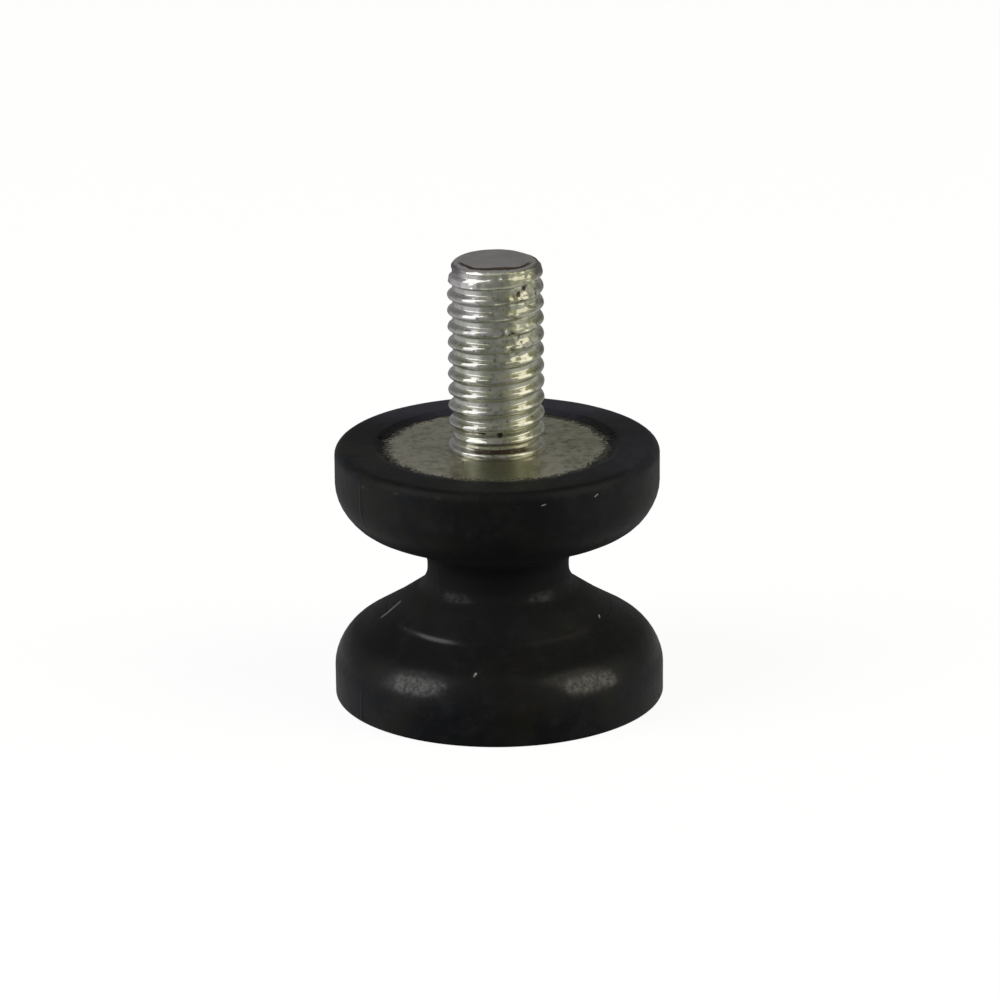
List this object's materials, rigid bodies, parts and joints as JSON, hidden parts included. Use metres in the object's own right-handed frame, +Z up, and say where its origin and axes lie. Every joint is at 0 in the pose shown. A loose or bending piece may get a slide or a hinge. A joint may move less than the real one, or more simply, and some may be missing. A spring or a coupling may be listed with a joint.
{
  "type": "anti-vibration mount",
  "caption": "Waisted rubber mount on bonded steel plates, with a threaded stud at the top and a tapped blind hole in its flat base, to carry and isolate a machine.",
  "frame": {"origin": "middle of the base, on the mount's axis, in the plane of the rubber's lower face", "axes": "+Z up the axis, from the base towards the stud's tip; the shape is one of revolution, so +X and +Y are any two square directions"},
  "size_m": [0.0203, 0.0202, 0.0277],
  "materials": {
    "rubber": "satin black moulded rubber, dusty",
    "plate_zinc": "dull zinc plate, stained",
    "stud_zinc": "bright zinc plate",
    "bush_zinc": "zinc plate"
  },
  "bodies": {
    "root": {"rubber_body": "rubber", "top_plate": "plate_zinc", "stud": "stud_zinc", "bottom_plate": "plate_zinc", "tapped_bush": "bush_zinc"}
  },
  "joints": []
}
